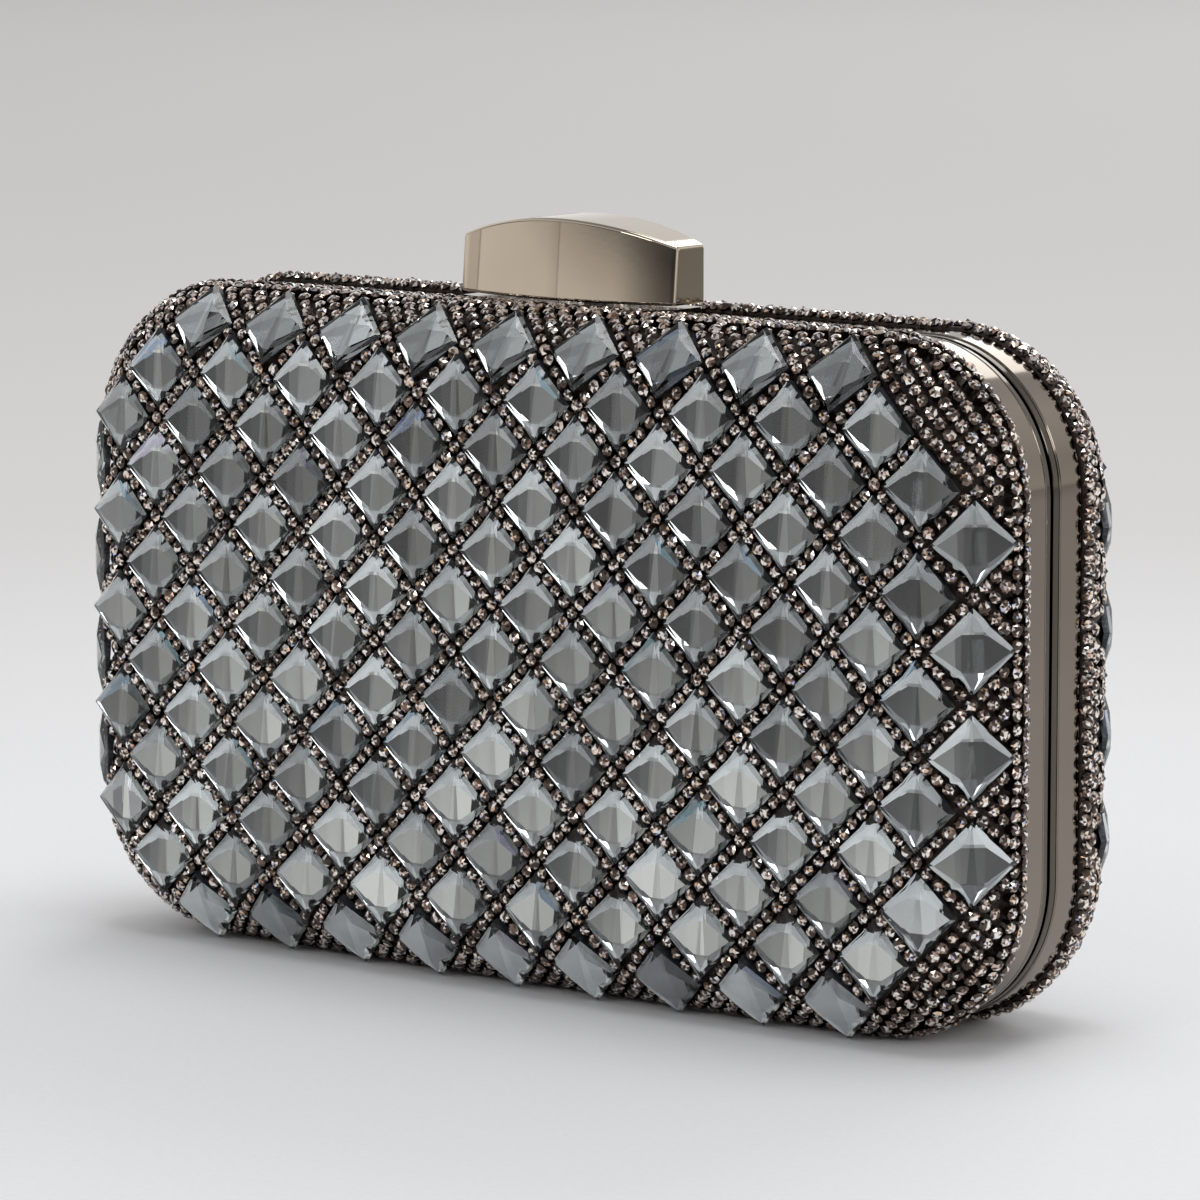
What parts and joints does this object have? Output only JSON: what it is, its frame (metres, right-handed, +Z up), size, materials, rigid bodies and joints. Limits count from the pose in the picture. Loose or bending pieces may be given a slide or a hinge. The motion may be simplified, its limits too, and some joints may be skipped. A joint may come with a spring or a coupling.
{
  "type": "clutch bag",
  "caption": "Hard-shell evening clutch covered in square crystals, with a metal frame, bottom hinges and a tipping bar clasp on top.",
  "frame": {"origin": "middle of the surface that the bag stands on", "axes": "+X along the bag to its right seen from the front, -Y the front, +Z up; the halves meet on Y = 0"},
  "size_m": [0.1972, 0.051, 0.1294],
  "materials": {
    "frame_metal": "polished champagne nickel",
    "hardware": "zinc plated",
    "panel": "moulded black",
    "crystal": "smoky foil-backed crystals on dark stones",
    "lining": "black satin"
  },
  "bodies": {
    "rear_half": {"rear_frame": "frame_metal", "rear_shell": "panel", "rear_crystals": "crystal", "rear_lining": "lining", "hinge_leaf_left_rear": "hardware", "hinge_leaf_right_rear": "hardware", "hinge_pin_left": "hardware", "hinge_pin_right": "hardware", "hinge_rivet_left_rear_1": "hardware", "hinge_rivet_left_rear_2": "hardware", "hinge_rivet_right_rear_1": "hardware", "hinge_rivet_right_rear_2": "hardware", "clasp_base": "frame_metal", "clasp_screw_1": "hardware", "clasp_screw_2": "hardware", "latch_bracket": "hardware", "latch_pivot": "hardware"},
    "front_half": {"front_frame": "frame_metal", "front_shell": "panel", "front_crystals": "crystal", "front_lining": "lining", "hinge_leaf_left_front": "hardware", "hinge_leaf_right_front": "hardware", "hinge_rivet_left_front_1": "hardware", "hinge_rivet_left_front_2": "hardware", "hinge_rivet_right_front_1": "hardware", "hinge_rivet_right_front_2": "hardware", "catch_plate": "hardware", "catch_rivet_1": "hardware", "catch_rivet_2": "hardware"},
    "latch": {"clasp_bar": "frame_metal", "latch_lever": "hardware", "latch_spring": "hardware"}
  },
  "joints": [
    {"name": "front_open", "type": "hinge", "parent": "rear_half", "child": "front_half", "pos_m": [0, 0, 0.0021], "axis": [1, 0, 0], "range_deg": [0, 95]},
    {"name": "latch_tilt", "type": "hinge", "parent": "rear_half", "child": "latch", "pos_m": [0, 0.0046, 0.1094], "axis": [1, 0, 0], "range_deg": [-8, 0], "stiffness_Nm_per_rad": 0.05, "springref_deg": 17.19}
  ]
}
